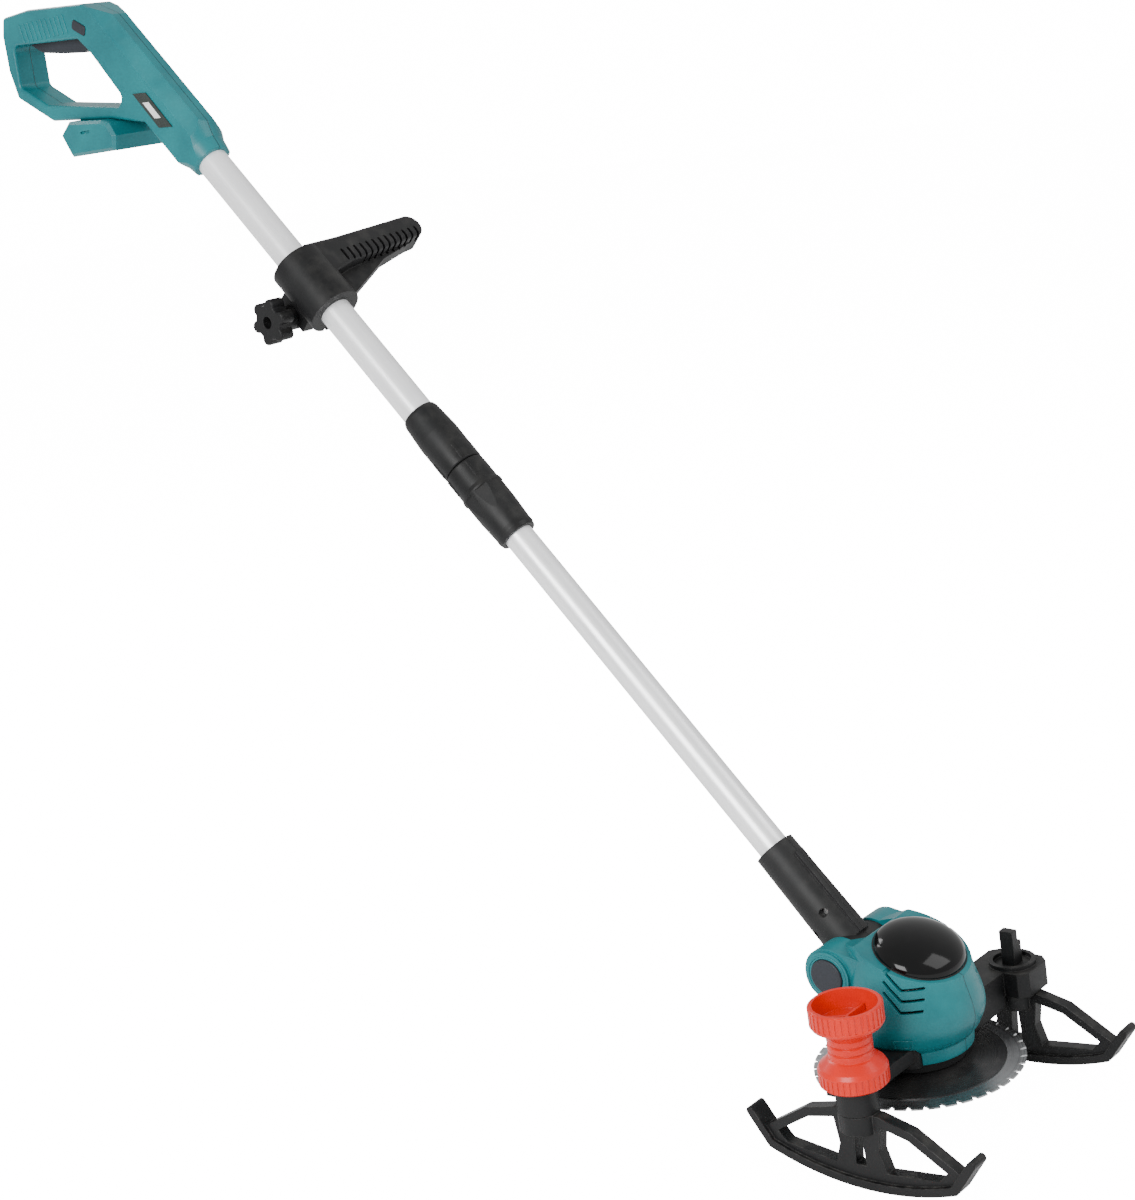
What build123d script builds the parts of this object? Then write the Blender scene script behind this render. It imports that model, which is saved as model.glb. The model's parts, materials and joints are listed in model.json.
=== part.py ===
from build123d import *
from math import cos, radians, sin, tan
import os

os.makedirs("parts", exist_ok=True)

# Battery string trimmer with a toothed disc blade, on a telescopic shaft.
# Millimetres. The origin is the middle of the rear grip. X is across the tool, -Y is forward
# and +Z is up, with the blade level and the shaft climbing back towards the user.

# Fits
run_gap = 0.05
free_gap = 0.3
square_gap = 0.1

# Shaft
shaft_angle = 48
shaft_length = 882
grip_reach = 227
grip_drop = 43
upper_od = 28
lower_od = 25
lower_wall = 1.5
upper_in_handle = 46
upper_end = 366
lower_top = 330

# Rear handle
handle_half = 18
wall = 2.6
trigger_half = 8
pin_half = 2
foot_half = 31
foot_depth = 29
rail_gap_half = 21
rail_inner_half = 25

# Auxiliary handle
clamp_start = 129
clamp_length = 57
clamp_bush_wall = 3
clamp_wall = 7
clamp_bolt_drop = 33
bolt_r = 4
arm_reach = 136

# Collar
collar_start = 309
collar_joint = 371
collar_end = 447
collar_wall = 4
collar_grip = 1.3
collet_wall = 3.25
lower_pass = 0.5

# Neck and pivot
neck_length = 104
neck_socket = 50
neck_wall = 4.3
knuckle_r = 20
knuckle_half = 18.4
pin_r = 5
pivot_back = 42
pivot_height = 123
ear_half = 43
ear_r = 21.5
button_r = 14

# Head
head_r = 54.5
head_floor = 75
tilt_top = 21.6
top_front = Vector(0, -43, 123)
motor_r = 17.8
motor_low = 80
motor_long = 48
flange_r = 37
flange_low = 50
spindle_r = 5
shaft_r = 2.5

# Blade
blade_r = 80.5
blade_low = 42.4
blade_thick = 1.4
teeth = 40

# Skids
skid_spread = 110
skid_y = -21
socket_low = 60
socket_high = 81
ring_low = 58
stem_half = 5.75
block_high = 80
ring_high = 83.5

# Screws
screw_r = 1.5
screw_head_r = 3
screw_head_high = 2
screw_seat = 8
screw_bite = 10
screw_play = 0.2

climb = radians(shaft_angle)
up_shaft = Vector(0, cos(climb), sin(climb))
over_shaft = Vector(0, -sin(climb), cos(climb))
mouth = over_shaft * grip_drop - up_shaft * grip_reach
pivot = mouth - up_shaft * shaft_length
head = pivot - Vector(0, pivot_back, pivot_height)
upper_bore = lower_od / 2 + run_gap
collar_r = upper_od / 2 + collar_wall
collar_grip_r = collar_r + collar_grip
neck_start = shaft_length - neck_length
neck_r = lower_od / 2 + neck_wall
shaft_axis = Axis(mouth, -up_shaft)
head_axis = Axis(head, (0, 0, 1))


def shaft_at(down):
    """Plane across the shaft, with X right, Y over the shaft and Z towards the head."""
    return Plane(origin=mouth - up_shaft * down, x_dir=(1, 0, 0), z_dir=-up_shaft)


def shaft_side(x):
    """Plane along the shaft: local X runs down the shaft, local Y over it, normal is -X."""
    return Plane(origin=mouth + Vector(x, 0, 0), x_dir=-up_shaft, z_dir=(-1, 0, 0))


def shaft_flat(over):
    """Plane holding the shaft direction and X: local Y runs up the shaft."""
    return Plane(origin=mouth + over_shaft * over, x_dir=(1, 0, 0), z_dir=over_shaft)


def side(x):
    """Upright plane through the grip: local X is Y, local Y is Z, normal is +X."""
    return Plane(origin=(x, 0, 0), x_dir=(0, 1, 0), z_dir=(1, 0, 0))


def head_side(x):
    return Plane(origin=head + Vector(x, 0, 0), x_dir=(0, 1, 0), z_dir=(1, 0, 0))


def head_at(z, x=0, y=0):
    return Plane(origin=head + Vector(x, y, z))


def beside(down, over):
    """A point given along and over the shaft, as (y, z) in the grip's frame."""
    point = mouth - up_shaft * down + over_shaft * over
    return (point.Y, point.Z)


def ring(plane, outer, inner, length):
    """A plain tube on a plane."""
    with BuildPart() as tube:
        with BuildSketch(plane):
            Circle(outer)
            Circle(inner, mode=Mode.SUBTRACT)
        extrude(amount=length)
    return tube.part


def turned(plane, axis, points):
    """A solid turned about an axis from its half outline."""
    with BuildPart() as body:
        with BuildSketch(plane):
            with BuildLine():
                Polyline(*points, close=True)
            make_face()
        revolve(axis=axis)
    return body.part


def screw(plane, grip_length):
    """A pan-head screw: head above the plane, shank below it."""
    with BuildPart() as one:
        with BuildSketch(plane):
            Circle(screw_head_r)
        extrude(amount=screw_head_high)
        with BuildSketch(plane):
            Circle(screw_r)
        extrude(amount=-grip_length)
    return one.part


def save(piece, name):
    piece.label = name
    export_step(piece, "parts/" + name + ".step")


# ---- Rear handle shells ----

crest = 26
outline = [
    (60, 18), (20, 20), (-62, 14), beside(-165, crest), beside(-14, crest), beside(0, 18),
    beside(0, -17.5), beside(-14, -18.2), (-121, -97), (-74, -89), (14, -82),
    (61, -56), (67, -30), (66, 2),
]
hand_hole = [(52, -9), (54, -47), (18, -67), (-88, -80), (-96, -72), (-62, -29), (-47, -15)]
tube_bore = upper_od / 2

with BuildSketch(side(0)) as outline_face:
    with BuildLine():
        Polyline(*outline, close=True)
    make_face()
    fillet(outline_face.vertices(), 5)

with BuildSketch(side(0)) as hole_face:
    with BuildLine():
        Polyline(*hand_hole, close=True)
    make_face()
    fillet(hole_face.vertices(), 6)

with BuildSketch(side(0)) as loop_face:
    add(outline_face.sketch_local)
    add(hole_face.sketch_local, mode=Mode.SUBTRACT)


def crest_cut(inset):
    """The slanted shoulder along the top of the handle, moved in by inset."""
    low = crest - 11 - inset
    top = crest - inset
    near = 8 - inset
    with BuildPart() as wedge:
        with BuildSketch(shaft_at(-200)):
            with BuildLine():
                Polyline((handle_half - inset, low), (near, top), (near, 60), (60, 60), (60, low),
                         close=True)
            make_face()
        extrude(amount=215)
    return wedge.part


with BuildPart() as cavity:
    with BuildSketch(side(0)):
        offset(loop_face.sketch_local, amount=-wall)
    extrude(amount=handle_half - wall)
    add(crest_cut(wall * 0.8), mode=Mode.SUBTRACT)
    with BuildSketch(shaft_side(-1)):
        with Locations((-20, 0)):
            Rectangle(2 * upper_in_handle - 36, 80)
    extrude(amount=-60, mode=Mode.SUBTRACT)

boss_points = [(50, 6), (-66, 4), (40, -62.5), beside(-140, 8), beside(-61, 12), beside(-62, -12)]
boss_r = 4.4
trigger_pivot = (35, -3.5)
pin_boss_x = 12

with BuildPart() as shell_blank:
    with BuildSketch(side(0)):
        add(loop_face.sketch_local)
    extrude(amount=handle_half)
    fillet(shell_blank.faces().sort_by(Axis.X)[-1].edges(), 3)
    add(crest_cut(0), mode=Mode.SUBTRACT)
    add(turned(shaft_side(0), shaft_axis, [(-34, 30), (-12, 20), (2, 17.6), (2, 50), (-34, 50)]),
        mode=Mode.SUBTRACT)
    add(cavity.part, mode=Mode.SUBTRACT)
    with BuildSketch(side(0)):
        with Locations(*boss_points):
            Circle(boss_r)
    extrude(amount=handle_half - wall)
    with BuildSketch(side(pin_boss_x)):
        with Locations(trigger_pivot):
            Circle(boss_r)
            Circle(pin_half, mode=Mode.SUBTRACT)
    extrude(amount=handle_half - wall - pin_boss_x)
    with BuildSketch(shaft_at(-upper_in_handle)):
        Circle(tube_bore)
    extrude(amount=upper_in_handle + 10, mode=Mode.SUBTRACT)
    with BuildSketch(shaft_at(-upper_in_handle - 8)):
        Circle(9)
    extrude(amount=10, mode=Mode.SUBTRACT)
    with BuildSketch(side(0)):
        with Locations((-6, -14)):
            Rectangle(100, 14)
    extrude(amount=trigger_half + free_gap, mode=Mode.SUBTRACT)

with BuildPart() as handle_shell_left:
    add(shell_blank.part)
    with BuildSketch(side(0)):
        with Locations(*boss_points):
            Circle(screw_r + screw_play)
    extrude(amount=handle_half, mode=Mode.SUBTRACT)
    with BuildSketch(side(screw_seat)):
        with Locations(*boss_points):
            Circle(screw_head_r + screw_play)
    extrude(amount=handle_half, mode=Mode.SUBTRACT)
save(handle_shell_left.part, "handle_shell_left")

button_spot = (-54, -6)
button_size = (19, 9)

with BuildPart() as handle_shell_right:
    add(mirror(shell_blank.part, about=Plane.YZ))
    with BuildSketch(side(0)):
        with Locations(*boss_points):
            Circle(screw_r)
    extrude(amount=-screw_bite, mode=Mode.SUBTRACT)
    with BuildSketch(side(-handle_half - 1)):
        with Locations(Location((*button_spot, 0), (0, 0, 28))):
            RectangleRounded(button_size[0] + 2 * free_gap, button_size[1] + 2 * free_gap, 3)
    extrude(amount=wall + 2, mode=Mode.SUBTRACT)
save(handle_shell_right.part, "handle_shell_right")

with BuildPart() as handle_screws:
    for spot in boss_points:
        place = Plane(origin=(screw_seat, *spot), x_dir=(0, 1, 0), z_dir=(1, 0, 0))
        add(screw(place, screw_seat + screw_bite - 1))
save(handle_screws.part, "handle_screws")

with BuildPart() as badge_plate:
    with BuildSketch(shaft_side(-handle_half)):
        with BuildLine():
            Polyline((-98, -6), (-85, 7), (-42, 6), (-55, -7), close=True)
        make_face()
    extrude(amount=1)
save(badge_plate.part, "badge_plate")

# ---- Controls ----

with BuildPart() as trigger:
    with BuildSketch(side(0)):
        with BuildLine():
            Polyline((-48, -6), (-46, -25), (-38, -27), (-8, -24), (20, -20), (38, -10), (41, -2),
                     (38, 1), (30, 1), (24, -3), (0, -3), close=True)
        make_face()
    extrude(amount=trigger_half, both=True)
    fillet(trigger.edges().filter_by(Axis.X).group_by(Axis.Z)[0], 3)
    fillet(trigger.faces().sort_by(Axis.Z)[:3].edges().filter_by(Axis.X, reverse=True), 2)
    with BuildSketch(side(-trigger_half)):
        with Locations(trigger_pivot):
            Circle(pin_half + run_gap)
    extrude(amount=2 * trigger_half, mode=Mode.SUBTRACT)
save(trigger.part, "trigger")

with BuildPart() as trigger_pin:
    with BuildSketch(side(wall - handle_half)):
        with Locations(trigger_pivot):
            Circle(pin_half)
    extrude(amount=2 * (handle_half - wall))
save(trigger_pin.part, "trigger_pin")

with BuildPart() as trigger_spring:
    with BuildSketch(side(trigger_half + 0.4)):
        with Locations(trigger_pivot):
            Circle(3.4)
            Circle(pin_half, mode=Mode.SUBTRACT)
    extrude(amount=pin_boss_x - trigger_half - 0.4)
save(trigger_spring.part, "trigger_spring")

with BuildPart() as power_switch:
    with BuildSketch(side(-7)):
        with Locations((-18, 9)):
            Rectangle(27, 8.6)
    extrude(amount=14)
    with BuildSketch(side(-3)):
        with Locations((-26, 3.8)):
            Rectangle(6, 2)
    extrude(amount=6)
    # Tabs that seat it between the shells
    with BuildSketch(side(wall - handle_half)):
        with Locations((-18, 11)):
            Rectangle(8, 3)
    extrude(amount=2 * (handle_half - wall))
save(power_switch.part, "power_switch")

with BuildPart() as controller_board:
    with BuildSketch(shaft_flat(-2)):
        with Locations((0, 92)):
            Rectangle(2 * (handle_half - wall), 52)
    extrude(amount=1.6)
    with BuildSketch(shaft_flat(-0.4)):
        with Locations((0, 80)):
            Rectangle(14, 18)
        with Locations((-6, 104), (6, 104)):
            Circle(4.5)
    extrude(amount=8)
save(controller_board.part, "controller_board")

with BuildPart() as lock_off_button:
    with BuildSketch(side(-handle_half - 0.9)):
        with Locations(Location((*button_spot, 0), (0, 0, 28))):
            RectangleRounded(*button_size, 3)
    extrude(amount=6)
    fillet(lock_off_button.faces().sort_by(Axis.X)[0].edges(), 0.8)
save(lock_off_button.part, "lock_off_button")

# ---- Battery foot ----

foot_low = -88 - foot_depth
bar_slope = 7 / 88


def under_bar(y):
    """The lower bar's underside, where the foot bolts on."""
    return -82 + (y - 14) * bar_slope


foot_outline = [
    (-26, under_bar(-26)), (-74, under_bar(-74)), (-84, -92), (-91, -104), (-87, foot_low),
    (-22, foot_low), (-11, -96),
]

with BuildPart() as battery_foot:
    with BuildSketch(side(0)):
        with BuildLine():
            Polyline(*foot_outline, close=True)
        make_face()
    extrude(amount=foot_half, both=True)
    chamfer(battery_foot.faces().sort_by(Axis.X)[0].edges(), 3)
    chamfer(battery_foot.faces().sort_by(Axis.X)[-1].edges(), 3)
    with BuildSketch(Plane.XY.offset(foot_low)):
        with Locations((0, -33)):
            Rectangle(2 * rail_gap_half, 100)
    extrude(amount=14, mode=Mode.SUBTRACT)
    with BuildSketch(Plane.XY.offset(foot_low + 3.5)):
        with Locations((0, -33)):
            Rectangle(2 * rail_inner_half, 100)
    extrude(amount=10.5, mode=Mode.SUBTRACT)
    with BuildSketch(side(-foot_half - 1)):
        with Locations((-50, -97)):
            SlotOverall(14, 2.4)
    extrude(amount=3, mode=Mode.SUBTRACT)
save(battery_foot.part, "battery_foot")

with BuildPart() as terminal_block:
    with BuildSketch(Plane.XY.offset(foot_low + 6)):
        with Locations((0, -74)):
            Rectangle(30, 18)
    extrude(amount=8)
    with BuildSketch(Plane.XY.offset(foot_low + 5)):
        with Locations((-10, -60), (0, -60), (10, -60)):
            Rectangle(0.8, 10.4)
    extrude(amount=6)
    with BuildSketch(Plane.XY.offset(foot_low + 6)):
        with Locations((-10, -65), (0, -65), (10, -65)):
            Rectangle(2.6, 0.6)
    extrude(amount=5)
save(terminal_block.part, "terminal_block")

# ---- Tubes ----

save(ring(shaft_at(-upper_in_handle), upper_od / 2, upper_bore, upper_in_handle + upper_end), "upper_tube")

lower_bore = lower_od / 2 - lower_wall
lower_end = neck_start + neck_socket
save(ring(shaft_at(lower_top), lower_od / 2, lower_bore, lower_end - lower_top), "lower_tube")

tube_plug = turned(shaft_side(0), shaft_axis, [
    (lower_top - 4, 5), (lower_top - 4, lower_od / 2), (lower_top, lower_od / 2),
    (lower_top, lower_bore), (lower_top + 14, lower_bore), (lower_top + 14, 5),
])
save(tube_plug, "tube_plug")

# ---- Telescope collar ----

collet_end = collar_joint + 41
collet_r = upper_bore + collet_wall
lower_hole = lower_od / 2 + lower_pass
mark_size = (2.4, 15)


def collar_marks(start):
    """Four small ribs round the collar, beside the joint line."""
    with BuildPart() as marks:
        with BuildSketch(shaft_at(start)):
            with PolarLocations(collar_r, 4, start_angle=30):
                Rectangle(1.6, mark_size[0])
        extrude(amount=mark_size[1])
    return marks.part


with BuildPart() as collar_base:
    add(turned(shaft_side(0), shaft_axis, [
        (collar_start, upper_od / 2), (collar_start, collar_r - 2.4), (collar_start + 3, collar_r - 1.4),
        (collar_start + 26, collar_r + 0.4), (collar_joint - 1, collar_r), (collar_joint, collar_r - 0.8),
        (collar_joint, collet_r), (collet_end - 10, collet_r), (collet_end, collet_r - 1),
        (collet_end, upper_bore), (upper_end, upper_bore), (upper_end, upper_od / 2),
    ]))
    add(collar_marks(collar_joint - 2 - mark_size[1]))
    with BuildSketch(shaft_at(collar_joint + 12)):
        Rectangle(60, 1.6)
        Rectangle(1.6, 60)
    extrude(amount=40, mode=Mode.SUBTRACT)
    with BuildSketch(shaft_at(collar_start - 1)):
        Circle(upper_od / 2)
    extrude(amount=upper_end - collar_start, mode=Mode.SUBTRACT)
save(collar_base.part, "collar_base")

grip_start = collar_joint + 26

with BuildPart() as twist_collar:
    add(turned(shaft_side(0), shaft_axis, [
        (collar_joint + 0.6, collet_r + run_gap), (collar_joint + 0.6, collar_r - 0.8),
        (collar_joint + 1.6, collar_r), (grip_start - 3, collar_r + 0.3), (grip_start, collar_grip_r),
        (grip_start + 6, collar_grip_r), (collar_end - 8, collar_r - 0.9), (collar_end - 4, collar_r - 0.7),
        (collar_end, collar_r - 1.8), (collar_end, lower_hole), (collet_end + 4, lower_hole),
        (collet_end + 1, collet_r + run_gap),
    ]))
    with BuildSketch(shaft_at(grip_start + 2)):
        Circle(26)
        RegularPolygon(collar_grip_r + 0.4, 8, rotation=22.5, mode=Mode.SUBTRACT)
    extrude(amount=collar_end - grip_start - 12, mode=Mode.SUBTRACT)
    add(collar_marks(collar_joint + 3))
    with BuildSketch(shaft_at(collar_joint)):
        Circle(collet_r + run_gap)
    extrude(amount=30, mode=Mode.SUBTRACT)
save(twist_collar.part, "twist_collar")

# ---- Auxiliary handle ----

bush_r = upper_od / 2 + run_gap + clamp_bush_wall
clamp_r = bush_r + run_gap + clamp_wall
clamp_mid = clamp_start + clamp_length / 2
clamp_end = clamp_start + clamp_length
save(ring(shaft_at(clamp_start), bush_r, upper_od / 2 + run_gap, clamp_length), "clamp_bush")

ear_drop = clamp_bolt_drop + 11
ear_x = 13
tip_r = 12
tip_down = clamp_start - 6
slot_count = 13
bar_base = 32

# The bar of the arm, with a rounded tip
with BuildPart() as arm_bar:
    with BuildSketch(shaft_flat(-9)):
        with BuildLine():
            Polyline((0, -clamp_start + 4), (40, -clamp_start + 7), (arm_reach, -tip_down + tip_r),
                     (arm_reach, -tip_down - tip_r), (40, -clamp_start - 22), (0, -clamp_start - 34),
                     close=True)
        make_face()
        with Locations((arm_reach, -tip_down)):
            Circle(tip_r)
    extrude(amount=bar_base)
    with BuildSketch(shaft_at(clamp_start - 60)):
        with BuildLine():
            Polyline((-10, bar_base - 9), (arm_reach + 20, 14), (arm_reach + 20, 60), (-10, 60), close=True)
        make_face()
    extrude(amount=160, mode=Mode.SUBTRACT)
    fillet(arm_bar.faces().sort_by(Axis(mouth, over_shaft))[-1].edges(), 4)
    fillet(arm_bar.faces().sort_by(Axis(mouth, over_shaft))[0].edges(), 3)

with BuildPart() as aux_handle:
    with BuildSketch(shaft_at(clamp_start)):
        Circle(clamp_r)
    extrude(amount=clamp_length)
    add(arm_bar.part)
    with BuildSketch(shaft_side(0)):
        with Locations((clamp_mid, -clamp_bolt_drop)):
            Circle(11)
        with Locations((clamp_mid, -clamp_bolt_drop / 2)):
            Rectangle(36, clamp_bolt_drop)
    extrude(amount=ear_x, both=True)
    # The web that braces it
    with BuildSketch(shaft_flat(-5)):
        with BuildLine():
            Polyline((0, -clamp_start - 10), (arm_reach, -tip_down - 6), (arm_reach - 12, -tip_down - 15),
                     (arm_reach - 50, -clamp_end + 38), (28, -clamp_end + 9), (0, -clamp_end + 2),
                     close=True)
        make_face()
    extrude(amount=12)
    # Rib slots along the bar's lower edge
    with BuildSketch(shaft_flat(5)):
        for step in range(slot_count):
            reach = 34 + step * (arm_reach - 34) / (slot_count - 1)
            with Locations((reach, -clamp_start - 15.5 + (reach - 34) * 0.12)):
                SlotOverall(13, 3.4, rotation=90)
    extrude(amount=20, mode=Mode.SUBTRACT)
    with BuildSketch(shaft_at(clamp_start - 40)):
        Circle(bush_r + run_gap)
    extrude(amount=clamp_length + 80, mode=Mode.SUBTRACT)
    with BuildSketch(shaft_side(0)):
        with Locations((clamp_mid, -clamp_bolt_drop)):
            Rectangle(90, 40)
    extrude(amount=1.5, both=True, mode=Mode.SUBTRACT)
    with BuildSketch(shaft_side(0)):
        with Locations((clamp_mid, -clamp_bolt_drop)):
            Circle(bolt_r + run_gap)
    extrude(amount=20, both=True, mode=Mode.SUBTRACT)
save(aux_handle.part, "aux_handle")

knob_in = ear_x + 1
knob_hub = 12
knob_out = 14

with BuildPart() as clamp_bolt:
    with BuildSketch(shaft_side(ear_x + 5)):
        with Locations((clamp_mid, -clamp_bolt_drop)):
            RegularPolygon(7.5, 6)
    extrude(amount=5)
    with BuildSketch(shaft_side(ear_x)):
        with Locations((clamp_mid, -clamp_bolt_drop)):
            Circle(bolt_r)
    extrude(amount=2 * ear_x + knob_hub + 4)
save(clamp_bolt.part, "clamp_bolt")

with BuildPart() as star_knob:
    with BuildSketch(shaft_side(-knob_in)):
        with Locations((clamp_mid, -clamp_bolt_drop)):
            Circle(11)
    extrude(amount=knob_hub)
    with BuildSketch(shaft_side(-knob_in - knob_hub)) as star:
        with Locations((clamp_mid, -clamp_bolt_drop)):
            Circle(15)
            with PolarLocations(15, 6):
                Circle(5.4)
        fillet(star.vertices(), 2)
    extrude(amount=knob_out)
    fillet(star_knob.faces().sort_by(Axis.X)[0].edges(), 1.6)
    with BuildSketch(shaft_side(-knob_in - knob_hub - 5)):
        with Locations((clamp_mid, -clamp_bolt_drop)):
            Circle(5.4)
    extrude(amount=knob_out, mode=Mode.SUBTRACT)
    with BuildSketch(shaft_side(-knob_in)):
        with Locations((clamp_mid, -clamp_bolt_drop)):
            Circle(bolt_r + run_gap)
    extrude(amount=knob_hub + 6, mode=Mode.SUBTRACT)
save(star_knob.part, "star_knob")

# ---- Neck ----

neck_screw_spots = [(lower_end + 14, 10), (lower_end + 22, -9.5)]

with BuildPart() as neck_blank:
    with BuildSketch(shaft_at(neck_start)):
        Circle(neck_r)
    with BuildSketch(shaft_at(shaft_length - 12)):
        Circle(knuckle_half)
    loft()
    with BuildSketch(shaft_at(neck_start + 14)):
        with Locations((0, neck_r)):
            Rectangle(9, 5)
    extrude(amount=shaft_length - neck_start - 26)
    with BuildSketch(shaft_side(0)):
        with Locations((shaft_length, 0)):
            Circle(knuckle_r)
    extrude(amount=knuckle_half, both=True)
    with BuildSketch(shaft_side(0)):
        with Locations((shaft_length, 0)):
            Circle(pin_r + run_gap)
    extrude(amount=knuckle_half, both=True, mode=Mode.SUBTRACT)
    with BuildSketch(shaft_at(neck_start)):
        Circle(lower_od / 2)
    extrude(amount=neck_socket, mode=Mode.SUBTRACT)
    with BuildSketch(shaft_at(lower_end)):
        Circle(6)
    extrude(amount=shaft_length - lower_end - 8, mode=Mode.SUBTRACT)

with BuildPart() as neck_half_left:
    add(neck_blank.part)
    split(bisect_by=Plane.YZ, keep=Keep.TOP)
    with BuildSketch(shaft_side(0)):
        with Locations(*neck_screw_spots):
            Circle(screw_r)
    extrude(amount=-screw_bite, mode=Mode.SUBTRACT)
save(neck_half_left.part, "neck_half_left")

with BuildPart() as neck_half_right:
    add(neck_blank.part)
    split(bisect_by=Plane.YZ, keep=Keep.BOTTOM)
    with BuildSketch(shaft_side(0)):
        with Locations(*neck_screw_spots):
            Circle(screw_r + screw_play)
    extrude(amount=neck_r, mode=Mode.SUBTRACT)
    with BuildSketch(shaft_side(-screw_seat)):
        with Locations(*neck_screw_spots):
            Circle(screw_head_r + screw_play)
    extrude(amount=neck_r, mode=Mode.SUBTRACT)
save(neck_half_right.part, "neck_half_right")

with BuildPart() as neck_screws:
    for down, over in neck_screw_spots:
        place = Plane(
            origin=mouth - up_shaft * down + over_shaft * over + Vector(-screw_seat, 0, 0),
            x_dir=(0, 1, 0), z_dir=(-1, 0, 0),
        )
        add(screw(place, screw_seat + screw_bite - 1))
save(neck_screws.part, "neck_screws")

# ---- Head housing ----

pivot_spot = (pivot_back, pivot_height)
fork_back = pivot_back - knuckle_r - 0.5
fork_low = pivot_height - knuckle_r - 1
boss_half = ear_half + 2.5
seat_depth = 9


def top_z(y):
    """Height of the slanted rim under the cap."""
    return top_front.Z + (y - top_front.Y) * tan(radians(tilt_top))


def housing_solid(inset):
    """The round body of the head, cut by the slanted rim, smaller by inset."""
    with BuildPart() as body:
        with BuildSketch(head_side(0)):
            with BuildLine():
                edge = Spline(
                    (head_r - 5 - inset, head_floor + inset), (head_r - inset, head_floor + 12),
                    (head_r - 3.9 - inset, head_floor + 36), (head_r - 13.5 - inset, head_floor + 80),
                    tangents=((1, 2.2), (-0.25, 1)),
                )
                Polyline(edge @ 1, (0, head_floor + 80), (0, head_floor + inset), edge @ 0)
            make_face()
        revolve(axis=head_axis)
        with BuildSketch(head_side(0)):
            with BuildLine():
                Polyline((-90, top_z(-90) - inset), (20, top_z(20) - inset), (90, 128 - inset),
                         (90, 260), (-90, 260), close=True)
            make_face()
        extrude(amount=90, both=True, mode=Mode.SUBTRACT)
    return body.part


chevrons = [(-10, 136), (-22, 122), (-35, 122)]
vent_pitch = 8
skirt_low = 59
skirt_r = head_r - 11.3
skirt_y = -27
cap_spot = (0, -12.5)
cap_size = (head_r - 16.5, head_r - 20.5, 16)

with BuildPart() as housing_cavity:
    add(housing_solid(wall))
    with BuildSketch(head_at(head_floor + 30, *cap_spot)):
        Ellipse(cap_size[0] - 4, cap_size[1] * cos(radians(tilt_top)) - 4)
    extrude(amount=60)
    with BuildSketch(head_side(0)):
        with Locations((fork_back - wall + 50, fork_low - wall + 50)):
            Rectangle(100, 100)
    extrude(amount=knuckle_half + 0.8 + wall, both=True, mode=Mode.SUBTRACT)
    with BuildSketch(head_side(0)):
        with Locations(pivot_spot):
            Circle(ear_r)
    extrude(amount=60, both=True, mode=Mode.SUBTRACT)

housing_screw_spots = [(-38, 84), (44, 90), (-41, 112)]
housing_seat = 10
bracket_screw_spots = [(-38, 0), (38, 0), (-19, 33), (19, 33)]

post_high = 10
bracket_seat = 64
bracket_grip = 16

with BuildPart() as screw_posts:
    with BuildSketch(head_side(0)):
        with Locations(*housing_screw_spots):
            Circle(boss_r)
    extrude(amount=head_r, both=True)
    with BuildSketch(head_at(head_floor)):
        with Locations(*bracket_screw_spots):
            Circle(boss_r)
    extrude(amount=post_high)
    add(housing_cavity.part, mode=Mode.INTERSECT)

with BuildPart() as housing_blank:
    add(housing_solid(0))
    with BuildSketch(head_side(0)):
        with Locations(pivot_spot):
            Circle(ear_r)
        with Locations((0, 113)):
            Circle(24)
        make_hull()
    extrude(amount=ear_half, both=True)
    with BuildSketch(head_side(0)):
        with Locations(pivot_spot):
            Circle(ear_r - 2)
    extrude(amount=boss_half, both=True)
    # Front skirt
    with BuildSketch(head_side(0)):
        with BuildLine():
            Polyline((skirt_r - 3.2, skirt_low), (skirt_r, skirt_low), (skirt_r + 0.8, head_floor - 6),
                     (head_r - 6.5, head_floor - 2), (head_r - 4, head_floor + 3),
                     (skirt_r - 3.2, head_floor + 3), close=True)
        make_face()
    revolve(axis=head_axis)
    with BuildSketch(head_at(skirt_low)):
        with Locations((0, skirt_y + 60)):
            Rectangle(140, 120)
    extrude(amount=head_floor - skirt_low, mode=Mode.SUBTRACT)
    add(housing_cavity.part, mode=Mode.SUBTRACT)
    add(screw_posts.part)
    with BuildSketch(head_at(head_floor)):
        with Locations(*bracket_screw_spots):
            Circle(screw_r)
    extrude(amount=bracket_seat + bracket_grip - head_floor, mode=Mode.SUBTRACT)
    with BuildSketch(head_at(head_floor - 1)):
        Circle(12)
    extrude(amount=8, mode=Mode.SUBTRACT)
    # Fork gap for the neck's knuckle
    with BuildSketch(head_side(0)):
        with Locations((fork_back + 50, fork_low + 50)):
            Rectangle(100, 100)
    extrude(amount=knuckle_half + 0.8, both=True, mode=Mode.SUBTRACT)
    with BuildSketch(head_side(0)):
        with Locations(pivot_spot):
            Circle(pin_r)
    extrude(amount=60, both=True, mode=Mode.SUBTRACT)
    with BuildSketch(head_side(-boss_half)):
        with Locations(pivot_spot):
            Circle(button_r + free_gap)
    extrude(amount=seat_depth, mode=Mode.SUBTRACT)
    with BuildSketch(head_side(boss_half)):
        with Locations(pivot_spot):
            Circle(button_r)
    extrude(amount=-seat_depth, mode=Mode.SUBTRACT)
    # Chevron vents on both flanks
    with BuildSketch(head_side(0)):
        for row in range(3):
            with BuildLine():
                path = Polyline(*[(y, z - row * vent_pitch) for y, z in chevrons])
                offset(path, amount=1.1, side=Side.BOTH)
            make_face()
    extrude(amount=70, both=True, mode=Mode.SUBTRACT)

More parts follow.
